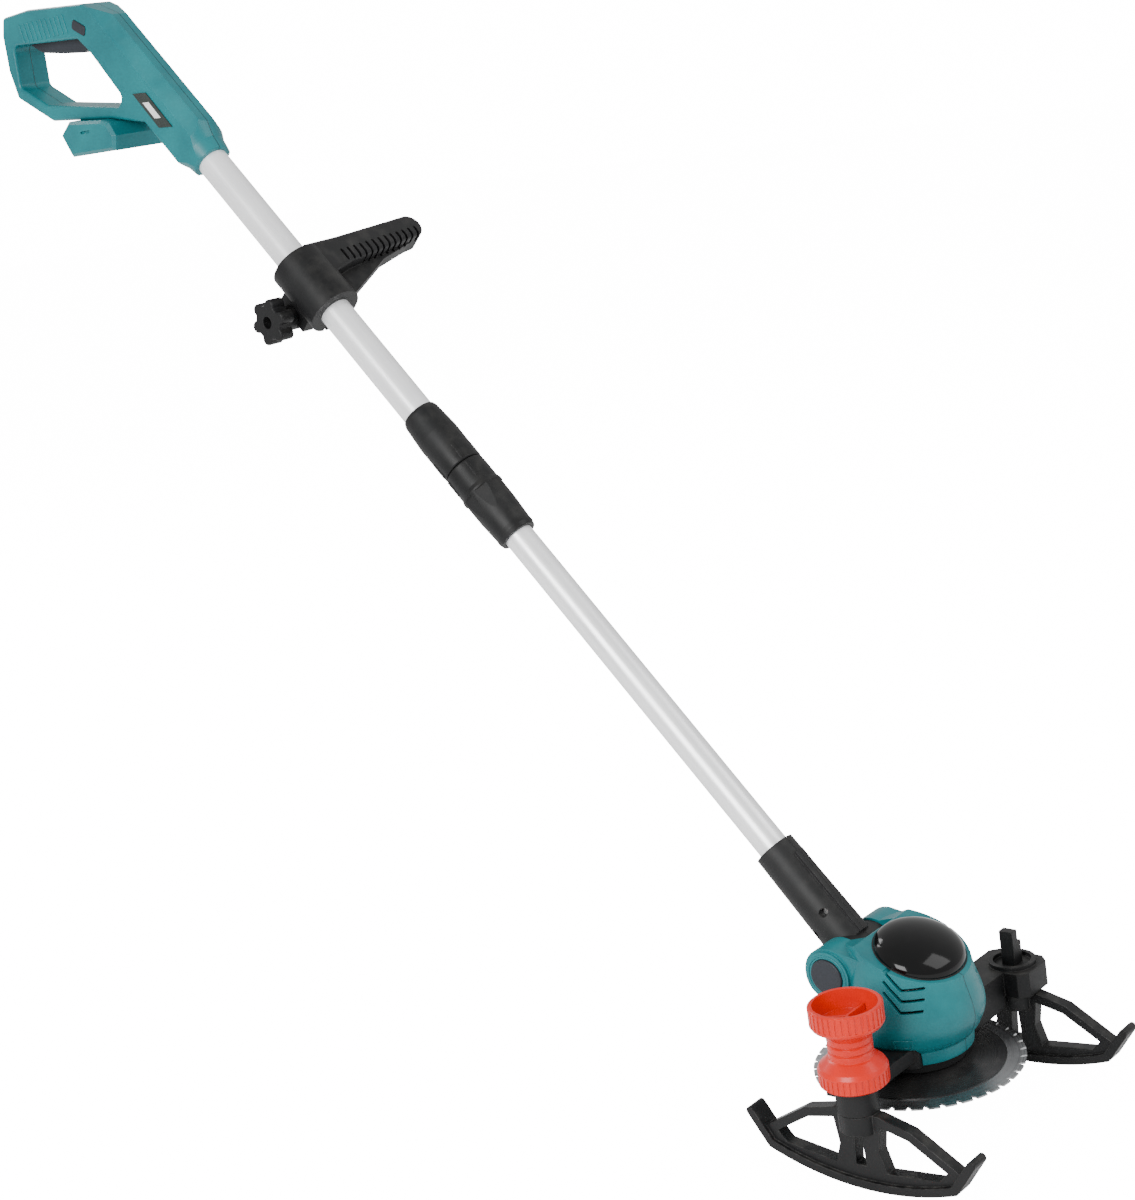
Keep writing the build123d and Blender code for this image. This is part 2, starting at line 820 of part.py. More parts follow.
with BuildPart() as head_shell_left:
    add(housing_blank.part)
    split(bisect_by=Plane.YZ, keep=Keep.TOP)
    with BuildSketch(head_side(0)):
        with Locations(*housing_screw_spots):
            Circle(screw_r + screw_play)
    extrude(amount=head_r, mode=Mode.SUBTRACT)
    with BuildSketch(head_side(screw_seat)):
        with Locations(*housing_screw_spots):
            Circle(screw_head_r + screw_play)
    extrude(amount=head_r, mode=Mode.SUBTRACT)
save(head_shell_left.part, "head_shell_left")

with BuildPart() as head_shell_right:
    add(housing_blank.part)
    split(bisect_by=Plane.YZ, keep=Keep.BOTTOM)
    with BuildSketch(head_side(0)):
        with Locations(*housing_screw_spots):
            Circle(screw_r)
    extrude(amount=-screw_bite, mode=Mode.SUBTRACT)
save(head_shell_right.part, "head_shell_right")

with BuildPart() as head_screws:
    for y, z in housing_screw_spots:
        place = Plane(origin=head + Vector(screw_seat, y, z), x_dir=(0, 1, 0), z_dir=(1, 0, 0))
        add(screw(place, screw_seat + screw_bite - 1))
save(head_screws.part, "head_screws")

cap_plane = Plane(
    origin=head + Vector(0, cap_spot[1], top_z(cap_spot[1])), x_dir=(1, 0, 0),
    z_dir=(0, -sin(radians(tilt_top)), cos(radians(tilt_top))),
)
cap_outer = scale(Sphere(1, mode=Mode.PRIVATE), by=cap_size)
cap_inner = scale(Sphere(1, mode=Mode.PRIVATE), by=tuple(length - wall for length in cap_size))
cap_top = split(cap_outer - cap_inner, bisect_by=Plane.XY, keep=Keep.TOP)
save(cap_plane * cap_top, "cap_dome")

# ---- Pivot ----

with BuildPart() as pivot_pin:
    with BuildSketch(head_side(-boss_half + seat_depth + 4)):
        with Locations(pivot_spot):
            Circle(pin_r)
    extrude(amount=2 * boss_half - 2 * seat_depth - 4)
save(pivot_pin.part, "pivot_pin")

with BuildPart() as pivot_button:
    with BuildSketch(head_side(-boss_half - 1.5)):
        with Locations(pivot_spot):
            Circle(button_r)
    extrude(amount=5)
    fillet(pivot_button.faces().sort_by(Axis.X)[0].edges(), 1.2)
save(pivot_button.part, "pivot_button")

with BuildPart() as button_spring:
    with BuildSketch(head_side(-boss_half + seat_depth - 2)):
        with Locations(pivot_spot):
            Circle(9)
            Circle(7, mode=Mode.SUBTRACT)
    extrude(amount=2)
save(button_spring.part, "button_spring")

with BuildPart() as pivot_cap:
    with BuildSketch(head_side(boss_half - seat_depth)):
        with Locations(pivot_spot):
            Circle(button_r)
    extrude(amount=seat_depth + 1)
    fillet(pivot_cap.faces().sort_by(Axis.X)[-1].edges(), 1.2)
save(pivot_cap.part, "pivot_cap")

# ---- Motor, spindle and blade ----

motor_high = motor_low + motor_long
spindle_low = 33
spindle_high = 76

motor_can = turned(head_side(0), head_axis, [
    (3, motor_low), (motor_r, motor_low), (motor_r, motor_high), (16, motor_high),
    (16, motor_low + 2), (3, motor_low + 2),
])
save(motor_can, "motor_can")

motor_endcap = turned(head_side(0), head_axis, [
    (3, motor_high), (motor_r, motor_high), (motor_r, motor_high + 5), (8, motor_high + 5),
    (8, motor_high + 7), (3, motor_high + 7),
])
save(motor_endcap, "motor_endcap")

motor_magnets = ring(head_at(motor_low + 8), 16, 13.5, 32)
save(motor_magnets, "motor_magnets")

with BuildPart() as armature:
    with BuildSketch(head_at(motor_low + 8)):
        Circle(13)
        with PolarLocations(13, 5):
            Rectangle(7, 2.4, mode=Mode.SUBTRACT)
    extrude(amount=32)
    with BuildSketch(head_at(spindle_high - 12)):
        Circle(shaft_r)
    extrude(amount=motor_high + 7 - spindle_high + 12)
save(armature.part, "armature")

motor_flange = turned(head_side(0), head_axis, [
    (11, flange_low), (flange_r, flange_low), (flange_r, ring_low), (30, ring_low),
    (30, head_floor), (8, head_floor), (8, flange_low + 9), (11, flange_low + 9),
])
save(motor_flange, "motor_flange")

save(ring(head_at(flange_low + 1), 11, spindle_r + run_gap, 8), "spindle_bearing")

spindle = turned(head_side(0), head_axis, [
    (0, spindle_low), (spindle_r, spindle_low), (spindle_r, spindle_high), (shaft_r, spindle_high),
    (shaft_r, spindle_high - 12), (0, spindle_high - 12),
])
save(spindle, "spindle")

blade_high = blade_low + blade_thick
cover_r = 66

with BuildPart() as blade:
    with BuildSketch(head_at(blade_low)):
        Circle(blade_r)
        Circle(spindle_r, mode=Mode.SUBTRACT)
        with PolarLocations(blade_r, teeth):
            Polygon((-5, -1.2), (2, -2.6), (2, 2.2), (-2.4, 1.2), align=None, mode=Mode.SUBTRACT)
    extrude(amount=blade_thick)
save(blade.part, "blade")

blade_cover = turned(head_side(0), head_axis, [
    (spindle_r, blade_high), (cover_r, blade_high), (cover_r, blade_high + 0.8),
    (34, flange_low - 1.6), (spindle_r, flange_low - 1.6),
])
save(blade_cover, "blade_cover")

blade_flange = turned(head_side(0), head_axis, [
    (spindle_r, blade_low - 4), (14, blade_low - 4), (20, blade_low - 1), (20, blade_low),
    (spindle_r, blade_low),
])
save(blade_flange, "blade_flange")

with BuildPart() as blade_nut:
    with BuildSketch(head_at(blade_low - 12)):
        RegularPolygon(9.5, 6)
        Circle(spindle_r, mode=Mode.SUBTRACT)
    extrude(amount=8)
save(blade_nut.part, "blade_nut")

# ---- Skid bracket ----

near_arm_low = 64
far_arm_low = 51
arm_high = 75
arm_wide = 30
far_arm_wide = 22
near_x = -skid_spread
far_x = skid_spread
socket_r = 15.5
block_half = 20
block_long = 51
stem_hole = 2 * (stem_half + square_gap)

with BuildPart() as skid_bracket:
    with BuildSketch(head_at(ring_low)):
        Circle(46)
        with Locations((0, skirt_y + 0.5 - 60)):
            Rectangle(140, 120, mode=Mode.SUBTRACT)
        Circle(30, mode=Mode.SUBTRACT)
    extrude(amount=head_floor - ring_low)
    with BuildSketch(head_at(near_arm_low)):
        with Locations((-skid_spread / 2, skid_y + 12)):
            Rectangle(skid_spread, arm_wide)
        Circle(31, mode=Mode.SUBTRACT)
    extrude(amount=arm_high - near_arm_low)
    # The far arm is a deeper box, stepped up clear of the housing
    with BuildSketch(head_at(far_arm_low)):
        with Locations((66, skid_y + 8)):
            Rectangle(48, far_arm_wide)
    extrude(amount=arm_high - far_arm_low)
    with BuildSketch(head_at(arm_high)):
        with Locations((81, skid_y + 8)):
            Rectangle(48, far_arm_wide)
    extrude(amount=block_high - arm_high)
    with BuildSketch(head_at(socket_low)):
        with Locations((93, skid_y + 8)):
            Rectangle(24, far_arm_wide)
    extrude(amount=block_high - socket_low)
    with BuildSketch(head_at(socket_low, near_x, skid_y)):
        Circle(socket_r)
    extrude(amount=socket_high - socket_low)
    with BuildSketch(head_at(socket_low, far_x, skid_y + 3.5)) as block:
        Rectangle(2 * block_half, block_long)
        chamfer(block.vertices(), 7)
    extrude(amount=block_high - socket_low)
    with BuildSketch(head_at(block_high, far_x, skid_y)):
        Circle(18.5)
        Circle(15, mode=Mode.SUBTRACT)
    extrude(amount=ring_high - block_high)
    with BuildSketch(head_at(socket_low, 0, skid_y)):
        with Locations((near_x, 0), (far_x, 0)):
            Rectangle(stem_hole, stem_hole)
    extrude(amount=40, mode=Mode.SUBTRACT)
    with BuildSketch(head_at(ring_low)):
        with Locations(*bracket_screw_spots):
            Circle(screw_r + screw_play)
    extrude(amount=20, mode=Mode.SUBTRACT)
    with BuildSketch(head_at(ring_low)):
        with Locations(*bracket_screw_spots):
            Circle(screw_head_r + screw_play)
    extrude(amount=bracket_seat - ring_low, mode=Mode.SUBTRACT)
save(skid_bracket.part, "skid_bracket")

with BuildPart() as bracket_screws:
    for x, y in bracket_screw_spots:
        place = Plane(origin=head + Vector(x, y, bracket_seat), x_dir=(1, 0, 0), z_dir=(0, 0, -1))
        add(screw(place, bracket_grip))
save(bracket_screws.part, "bracket_screws")

# ---- Skids ----

skid_top = socket_low - free_gap
runner_half = 8
frame_half = 5
bend = (79, 14)
tip = (95, 37)
runner_thick = 6.5
window = [(20, 48), (43, 43), (73, 25), (66, 17), (22, 12), (17, 28)]
spoke_window = [(4.5, 14), (3, 40)]


def mirrored(points):
    return [(-u, z) for u, z in points]


with BuildPart() as skid_blank:
    # Wide curved runner
    with BuildSketch(head_side(0)):
        with BuildLine():
            Line((-tip[0], tip[1]), (-bend[0], bend[1]))
            ThreePointArc((-bend[0], bend[1]), (0, 0), bend)
            Line(bend, tip)
            offset(amount=runner_thick / 2)
        make_face()
    extrude(amount=runner_half, both=True)
    # Window frame above it
    with BuildSketch(head_side(0)):
        with BuildLine():
            Polyline((-19, 56), (19, 56), (46, 49.5), (86, 25), (76, 12), (38, 3), (0, -1),
                     (-38, 3), (-76, 12), (-86, 25), (-46, 49.5), close=True)
        make_face()
        with BuildLine():
            Polyline(*window, close=True)
        make_face(mode=Mode.SUBTRACT)
        with BuildLine():
            Polyline(*mirrored(window), close=True)
        make_face(mode=Mode.SUBTRACT)
        with BuildLine():
            Polyline(*spoke_window, *mirrored(spoke_window)[::-1], close=True)
        make_face(mode=Mode.SUBTRACT)
    extrude(amount=frame_half, both=True)
    with BuildSketch(head_at(42)):
        Circle(socket_r)
    with BuildSketch(head_at(skid_top)):
        Circle(socket_r)
    loft()

runner_drop = runner_thick / 2


def skid_with_stem(x, stem_top, notch):
    """A skid under a socket, and the square stem that holds it there."""
    place = Location((x, skid_y, runner_drop))
    with BuildPart() as skid:
        add(skid_blank.part.moved(place))
        with BuildSketch(head_at(skid_top - 12, x, skid_y)):
            Rectangle(2 * stem_half, 2 * stem_half)
        extrude(amount=40, mode=Mode.SUBTRACT)
        with BuildSketch(head_at(skid_top, x, skid_y)):
            Rectangle(60, 240)
        extrude(amount=20, mode=Mode.SUBTRACT)
    with BuildPart() as stem:
        with BuildSketch(head_at(skid_top - 12, x, skid_y)):
            Rectangle(2 * stem_half, 2 * stem_half)
        extrude(amount=stem_top - skid_top + 12)
        with BuildSketch(head_at(stem_top - notch, x + stem_half, skid_y)):
            Rectangle(8, 20)
        extrude(amount=notch, mode=Mode.SUBTRACT)
    return skid.part, stem.part


skid_near, stem_near = skid_with_stem(near_x, 120, 3)
skid_far, stem_far = skid_with_stem(far_x, 108, 10)
save(skid_near, "skid_near")
save(stem_near, "stem_near")
save(skid_far, "skid_far")
save(stem_far, "stem_far")

# ---- Height knob ----

knob_low = socket_high + free_gap
knob_axis = Axis(head + Vector(near_x, skid_y, 0), (0, 0, 1))
knob_plane = Plane(origin=head + Vector(near_x, skid_y, 0), x_dir=(0, 1, 0), z_dir=(1, 0, 0))
stem_swing = stem_half * 1.4143 + free_gap
flute_count = 36
cup_floor = 46

with BuildPart() as height_knob:
    add(turned(knob_plane, knob_axis, [
        (stem_swing, knob_low), (24, knob_low), (25.6, knob_low + 1.5), (25.6, knob_low + 12),
        (24, knob_low + 15), (18, knob_low + 20), (16.4, knob_low + 21), (16.4, knob_low + 25),
        (15.2, knob_low + 26), (16.4, knob_low + 27), (16.4, knob_low + 31), (15.2, knob_low + 32),
        (16.4, knob_low + 33), (16.8, knob_low + 37), (19, knob_low + 40), (26, knob_low + 45),
        (27.2, knob_low + 47), (27.2, knob_low + 60), (26, knob_low + 61), (23.6, knob_low + 61),
        (22.6, knob_low + cup_floor), (0, knob_low + cup_floor), (0, knob_low + cup_floor - 4),
        (stem_swing, knob_low + cup_floor - 4),
    ]))
    # Ribs across the cup's floor
    with BuildSketch(head_at(knob_low + cup_floor, near_x, skid_y)):
        with PolarLocations(11, 3):
            Rectangle(22, 2)
    extrude(amount=5)
    with BuildSketch(head_at(knob_low, near_x, skid_y)):
        with PolarLocations(26, flute_count):
            Rectangle(2, 1.7)
    extrude(amount=11, mode=Mode.SUBTRACT)
    with BuildSketch(head_at(knob_low + 48, near_x, skid_y)):
        with PolarLocations(27.6, flute_count):
            Rectangle(2, 1.9)
    extrude(amount=14, mode=Mode.SUBTRACT)
save(height_knob.part, "height_knob")
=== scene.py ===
import json
from math import cos, pi, radians, sin

import bmesh
import bpy
from mathutils import Matrix, Vector


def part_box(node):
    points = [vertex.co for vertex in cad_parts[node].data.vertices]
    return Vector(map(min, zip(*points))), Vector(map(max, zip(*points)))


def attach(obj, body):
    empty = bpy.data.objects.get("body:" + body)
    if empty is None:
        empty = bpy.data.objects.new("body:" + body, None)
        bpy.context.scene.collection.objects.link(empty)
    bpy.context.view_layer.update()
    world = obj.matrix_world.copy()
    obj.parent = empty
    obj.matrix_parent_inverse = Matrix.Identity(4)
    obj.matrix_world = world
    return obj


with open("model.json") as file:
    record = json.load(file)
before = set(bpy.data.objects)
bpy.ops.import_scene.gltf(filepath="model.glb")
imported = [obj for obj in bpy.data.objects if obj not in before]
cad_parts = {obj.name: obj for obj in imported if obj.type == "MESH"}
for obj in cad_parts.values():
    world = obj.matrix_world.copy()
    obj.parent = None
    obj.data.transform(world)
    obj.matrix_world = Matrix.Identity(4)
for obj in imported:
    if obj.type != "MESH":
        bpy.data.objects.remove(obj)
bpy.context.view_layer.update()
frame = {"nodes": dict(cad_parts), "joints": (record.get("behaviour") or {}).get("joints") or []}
nodes = frame["nodes"]
joints = {joint["name"]: joint for joint in frame["joints"]}
print("frame loaded,", len(nodes), "nodes")

# directions and places that the pieces share, all from the frame
across = Vector((1, 0, 0))
upShaft = Vector(joints["shaft_telescope"]["axis"]).normalized()
overShaft = across.cross(upShaft)
pivotPoint = Vector(joints["head_tilt"]["pos_m"])
bladeCentre = Vector(joints["blade_spin"]["pos_m"])
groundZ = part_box("skid_near")[0].z
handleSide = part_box("handle_shell_left")[1].x


def makeGroup(name, inputs, outputs):
    group = bpy.data.node_groups.new(name, "ShaderNodeTree")
    for label, kind, value in inputs:
        socket = group.interface.new_socket(label, in_out="INPUT", socket_type=kind)
        socket.default_value = value
    for label, kind in outputs:
        group.interface.new_socket(label, in_out="OUTPUT", socket_type=kind)
    return group, group.nodes.new("NodeGroupInput"), group.nodes.new("NodeGroupOutput")


def mathNode(tree, operation, first, second=None, clamp=False):
    node = tree.nodes.new("ShaderNodeMath")
    node.operation = operation
    node.use_clamp = clamp
    for index, value in enumerate((first, second)):
        if isinstance(value, bpy.types.NodeSocket):
            tree.links.new(value, node.inputs[index])
        elif value is not None:
            node.inputs[index].default_value = value
    return node.outputs[0]


def rangeNode(tree, value, fromLow, fromHigh, toLow=0.0, toHigh=1.0):
    node = tree.nodes.new("ShaderNodeMapRange")
    tree.links.new(value, node.inputs["Value"])
    limits = {"From Min": fromLow, "From Max": fromHigh, "To Min": toLow, "To Max": toHigh}
    for label, number in limits.items():
        node.inputs[label].default_value = number
    return node.outputs["Result"]


def noiseNode(tree, scale, detail=3.0, vector=None, rough=0.55):
    node = tree.nodes.new("ShaderNodeTexNoise")
    node.inputs["Detail"].default_value = detail
    node.inputs["Roughness"].default_value = rough
    if isinstance(scale, bpy.types.NodeSocket):
        tree.links.new(scale, node.inputs["Scale"])
    else:
        node.inputs["Scale"].default_value = scale
    if vector is None:
        vector = tree.nodes.new("ShaderNodeTexCoord").outputs["Object"]
    tree.links.new(vector, node.inputs["Vector"])
    return node.outputs["Fac"]


grainMix = {"cells": 0.6, "fineDetail": 2.0, "toneDetail": 4.0}


def buildMouldGrain():
    # the fine spark-eroded texture of moulded plastic, with a slow drift in tone
    tree, enter, leave = makeGroup(
        "mouldGrain",
        [("Size", "NodeSocketFloat", 900.0), ("Blotch", "NodeSocketFloat", 18.0)],
        [("Height", "NodeSocketFloat"), ("Tone", "NodeSocketFloat")],
    )
    coords = tree.nodes.new("ShaderNodeTexCoord").outputs["Object"]
    cells = tree.nodes.new("ShaderNodeTexVoronoi")
    tree.links.new(coords, cells.inputs["Vector"])
    tree.links.new(enter.outputs["Size"], cells.inputs["Scale"])
    fine = noiseNode(tree, enter.outputs["Size"], grainMix["fineDetail"], coords)
    pits = mathNode(tree, "MULTIPLY", cells.outputs["Distance"], grainMix["cells"])
    tree.links.new(mathNode(tree, "ADD", pits, fine), leave.inputs["Height"])
    tone = noiseNode(tree, enter.outputs["Blotch"], grainMix["toneDetail"], coords)
    tree.links.new(tone, leave.inputs["Tone"])
    return tree


wearMix = {"samples": 4, "edge": (0.02, 0.3), "detail": 4.0, "rub": (0.42, 0.62)}


def buildEdgeWear():
    # a mask along sharp edges, broken up so that it reads as rubbed
    tree, enter, leave = makeGroup(
        "edgeWear",
        [("Width", "NodeSocketFloat", 0.0008), ("Breakup", "NodeSocketFloat", 160.0)],
        [("Mask", "NodeSocketFloat")],
    )
    bevel = tree.nodes.new("ShaderNodeBevel")
    bevel.samples = wearMix["samples"]
    tree.links.new(enter.outputs["Width"], bevel.inputs["Radius"])
    plain = tree.nodes.new("ShaderNodeNewGeometry")
    dot = tree.nodes.new("ShaderNodeVectorMath")
    dot.operation = "DOT_PRODUCT"
    tree.links.new(bevel.outputs["Normal"], dot.inputs[0])
    tree.links.new(plain.outputs["Normal"], dot.inputs[1])
    edge = mathNode(tree, "SUBTRACT", 1.0, dot.outputs["Value"], True)
    edge = rangeNode(tree, edge, *wearMix["edge"])
    rub = rangeNode(tree, noiseNode(tree, enter.outputs["Breakup"], wearMix["detail"]), *wearMix["rub"])
    tree.links.new(mathNode(tree, "MULTIPLY", edge, rub, True), leave.inputs["Mask"])
    return tree


dustMix = {"facing": (0.1, 1.0), "detail": 6.0, "patch": (0.45, 0.75)}


def buildSettledDust():
    # a thin pale film on faces that look up
    tree, enter, leave = makeGroup(
        "settledDust",
        [("Amount", "NodeSocketFloat", 0.2), ("Size", "NodeSocketFloat", 60.0)],
        [("Mask", "NodeSocketFloat")],
    )
    plain = tree.nodes.new("ShaderNodeNewGeometry")
    split = tree.nodes.new("ShaderNodeSeparateXYZ")
    tree.links.new(plain.outputs["Normal"], split.inputs[0])
    facing = rangeNode(tree, split.outputs["Z"], *dustMix["facing"])
    patch = rangeNode(tree, noiseNode(tree, enter.outputs["Size"], dustMix["detail"]), *dustMix["patch"])
    film = mathNode(tree, "MULTIPLY", facing, patch, True)
    tree.links.new(mathNode(tree, "MULTIPLY", film, enter.outputs["Amount"], True), leave.inputs["Mask"])
    return tree


seamFade = (0.6, 1.6)


def buildMouldSeam():
    # the line where two half shells meet on the centre plane
    tree, enter, leave = makeGroup(
        "mouldSeam", [("Width", "NodeSocketFloat", 0.0003)], [("Mask", "NodeSocketFloat")],
    )
    split = tree.nodes.new("ShaderNodeSeparateXYZ")
    tree.links.new(tree.nodes.new("ShaderNodeTexCoord").outputs["Object"], split.inputs[0])
    fromMiddle = mathNode(tree, "ABSOLUTE", split.outputs["X"])
    away = mathNode(tree, "DIVIDE", fromMiddle, enter.outputs["Width"])
    tree.links.new(rangeNode(tree, away, *seamFade, 1.0, 0.0), leave.inputs["Mask"])
    return tree


lineMix = {"broadDetail": 2.0, "narrowDetail": 6.0, "narrowRough": 0.75, "ratio": 3.7}


def buildDrawnLines():
    # hair-fine lines, long along one direction: drawn tube or turned disc
    tree, enter, leave = makeGroup(
        "drawnLines",
        [("Vector", "NodeSocketVector", (0, 0, 0)), ("Size", "NodeSocketFloat", 1.0)],
        [("Streak", "NodeSocketFloat"), ("Height", "NodeSocketFloat")],
    )
    vector = enter.outputs["Vector"]
    broad = noiseNode(tree, enter.outputs["Size"], lineMix["broadDetail"], vector)
    finer = mathNode(tree, "MULTIPLY", enter.outputs["Size"], lineMix["ratio"])
    narrow = noiseNode(tree, finer, lineMix["narrowDetail"], vector, lineMix["narrowRough"])
    streak = mathNode(tree, "MULTIPLY", mathNode(tree, "ADD", broad, narrow), 0.5)
    tree.links.new(streak, leave.inputs["Streak"])
    tree.links.new(narrow, leave.inputs["Height"])
    return tree


groups = {
    "grain": buildMouldGrain(),
    "wear": buildEdgeWear(),
    "dust": buildSettledDust(),
    "seam": buildMouldSeam(),
    "lines": buildDrawnLines(),
}
print("node groups built:", ", ".join(groups))


def placeGroup(tree, name, **values):
    node = tree.nodes.new("ShaderNodeGroup")
    node.node_tree = groups[name]
    for label, value in values.items():
        node.inputs[label].default_value = value
    return node


def blendColour(tree, mask, under, over):
    node = tree.nodes.new("ShaderNodeMix")
    node.data_type = "RGBA"
    tree.links.new(mask, node.inputs[0])
    for socket, value in ((node.inputs[6], under), (node.inputs[7], over)):
        if isinstance(value, bpy.types.NodeSocket):
            tree.links.new(value, socket)
        else:
            socket.default_value = (*value, 1.0)
    return node.outputs[2]


def newMaterial(name):
    material = bpy.data.materials.new(name)
    material.use_nodes = True
    return material, material.node_tree, material.node_tree.nodes["Principled BSDF"]


def bumpInto(tree, shader, height, strength, distance, previous=None):
    bump = tree.nodes.new("ShaderNodeBump")
    bump.inputs["Strength"].default_value = strength
    bump.inputs["Distance"].default_value = distance
    tree.links.new(height, bump.inputs["Height"])
    if previous is not None:
        tree.links.new(previous, bump.inputs["Normal"])
    tree.links.new(bump.outputs["Normal"], shader.inputs["Normal"])
    return bump.outputs["Normal"]


tealLook = {"base": (0.002, 0.150, 0.168), "shade": (0.001, 0.112, 0.130), "rub": (0.03, 0.26, 0.28),
            "rough": (0.34, 0.46), "grain": 1500.0, "depth": 0.00003, "dust": 0.04,
            "coat": 0.08, "edge": 0.0010, "shine": 0.34}
plasticLooks = {
    "tealSplit": {**tealLook, "seam": True},
    "tealPlain": {**tealLook, "seam": False},
    "orangeMoulding": {
        "base": (0.68, 0.013, 0.0), "shade": (0.56, 0.008, 0.0), "rub": (0.90, 0.07, 0.015),
        "rough": (0.30, 0.42), "grain": 1400.0, "depth": 0.00002, "dust": 0.02, "seam": False,
        "coat": 0.10, "edge": 0.0006, "shine": 0.3},
    "blackMoulding": {
        "base": (0.009, 0.009, 0.0095), "shade": (0.005, 0.005, 0.0055), "rub": (0.040, 0.040, 0.042),
        "rough": (0.40, 0.55), "grain": 1100.0, "depth": 0.00005, "dust": 0.06, "seam": False,
        "coat": 0.0, "edge": 0.0010, "shine": 0.24},
    "blackSplit": {
        "base": (0.013, 0.013, 0.0135), "shade": (0.008, 0.008, 0.0085), "rub": (0.05, 0.05, 0.052),
        "rough": (0.42, 0.56), "grain": 1000.0, "depth": 0.00005, "dust": 0.05, "seam": True,
        "coat": 0.0, "edge": 0.0010, "shine": 0.24},
    "buttonGrey": {
        "base": (0.020, 0.023, 0.030), "shade": (0.014, 0.016, 0.022), "rub": (0.06, 0.065, 0.075),
        "rough": (0.36, 0.50), "grain": 1300.0, "depth": 0.00003, "dust": 0.03, "seam": False,
        "coat": 0.0, "edge": 0.0008, "shine": 0.3},
    "skidBlack": {
        "base": (0.008, 0.008, 0.0085), "shade": (0.004, 0.004, 0.0045), "rub": (0.07, 0.068, 0.065),
        "rough": (0.32, 0.52), "grain": 800.0, "depth": 0.00006, "dust": 0.08, "seam": False,
        "coat": 0.0, "edge": 0.0014, "shine": 0.26},
}
mouldLook = {
    "blotch": 22.0, "tone": (0.35, 0.65), "breakup": 140.0, "rubShare": 0.7,
    "dustSize": 70.0, "dustTint": (0.42, 0.40, 0.36), "dustRough": 0.5, "roughTone": (0.3, 0.7),
    "roundSamples": 6, "grainStrength": 0.5, "seamWidth": 0.00028, "seamShade": 0.25,
    "seamStrength": 0.8, "seamDepth": 0.0003, "coatRough": 0.18,
}


def makePlastic(name, look):
    material, tree, shader = newMaterial(name)
    grain = placeGroup(tree, "grain", Size=look["grain"], Blotch=mouldLook["blotch"])
    tone = rangeNode(tree, grain.outputs["Tone"], *mouldLook["tone"])
    colour = blendColour(tree, tone, look["shade"], look["base"])
    wear = placeGroup(tree, "wear", Width=look["edge"], Breakup=mouldLook["breakup"])
    rubbed = mathNode(tree, "MULTIPLY", wear.outputs["Mask"], mouldLook["rubShare"])
    colour = blendColour(tree, rubbed, colour, look["rub"])
    dust = placeGroup(tree, "dust", Amount=look["dust"], Size=mouldLook["dustSize"])
    colour = blendColour(tree, dust.outputs["Mask"], colour, mouldLook["dustTint"])
    rough = rangeNode(tree, grain.outputs["Tone"], *mouldLook["roughTone"], *look["rough"])
    duller = mathNode(tree, "MULTIPLY", dust.outputs["Mask"], mouldLook["dustRough"])
    rough = mathNode(tree, "ADD", rough, duller, True)
    # corners are rounded a little before the grain goes on
    rounded = tree.nodes.new("ShaderNodeBevel")
    rounded.samples = mouldLook["roundSamples"]
    rounded.inputs["Radius"].default_value = look["edge"]
    normal = bumpInto(tree, shader, grain.outputs["Height"], mouldLook["grainStrength"], look["depth"],
                      rounded.outputs["Normal"])
    if look["seam"]:
        seam = placeGroup(tree, "seam", Width=mouldLook["seamWidth"])
        dark = tuple(part * mouldLook["seamShade"] for part in look["shade"])
        colour = blendColour(tree, seam.outputs["Mask"], colour, dark)
        groove = mathNode(tree, "SUBTRACT", 1.0, seam.outputs["Mask"])
        bumpInto(tree, shader, groove, mouldLook["seamStrength"], mouldLook["seamDepth"], normal)
    tree.links.new(colour, shader.inputs["Base Color"])
    tree.links.new(rough, shader.inputs["Roughness"])
    shader.inputs["Specular IOR Level"].default_value = look["shine"]
    shader.inputs["Coat Weight"].default_value = look["coat"]
    shader.inputs["Coat Roughness"].default_value = mouldLook["coatRough"]
    return material


def frameVector(tree, directions, scales, origin):
    # object coordinates seen along three directions, each with its own scale
    coords = tree.nodes.new("ShaderNodeTexCoord").outputs["Object"]
    moved = tree.nodes.new("ShaderNodeVectorMath")
    moved.operation = "SUBTRACT"
    tree.links.new(coords, moved.inputs[0])
    moved.inputs[1].default_value = origin
    joined = tree.nodes.new("ShaderNodeCombineXYZ")
    for index, (direction, scale) in enumerate(zip(directions, scales)):
        dot = tree.nodes.new("ShaderNodeVectorMath")
        dot.operation = "DOT_PRODUCT"
        tree.links.new(moved.outputs[0], dot.inputs[0])
        dot.inputs[1].default_value = direction * scale
        tree.links.new(dot.outputs["Value"], joined.inputs[index])
    return joined.outputs[0]


def ringVector(tree, origin, fine):
    # distance from an upright axis, for turned or brushed discs
    coords = tree.nodes.new("ShaderNodeTexCoord").outputs["Object"]
    moved = tree.nodes.new("ShaderNodeVectorMath")
    moved.operation = "SUBTRACT"
    tree.links.new(coords, moved.inputs[0])
    moved.inputs[1].default_value = origin
    flat = tree.nodes.new("ShaderNodeVectorMath")
    flat.operation = "MULTIPLY"
    tree.links.new(moved.outputs[0], flat.inputs[0])
    flat.inputs[1].default_value = (fine, fine, 0)
    length = tree.nodes.new("ShaderNodeVectorMath")
    length.operation = "LENGTH"
    tree.links.new(flat.outputs[0], length.inputs[0])
    joined = tree.nodes.new("ShaderNodeCombineXYZ")
    tree.links.new(length.outputs["Value"], joined.inputs[0])
    return joined.outputs[0]


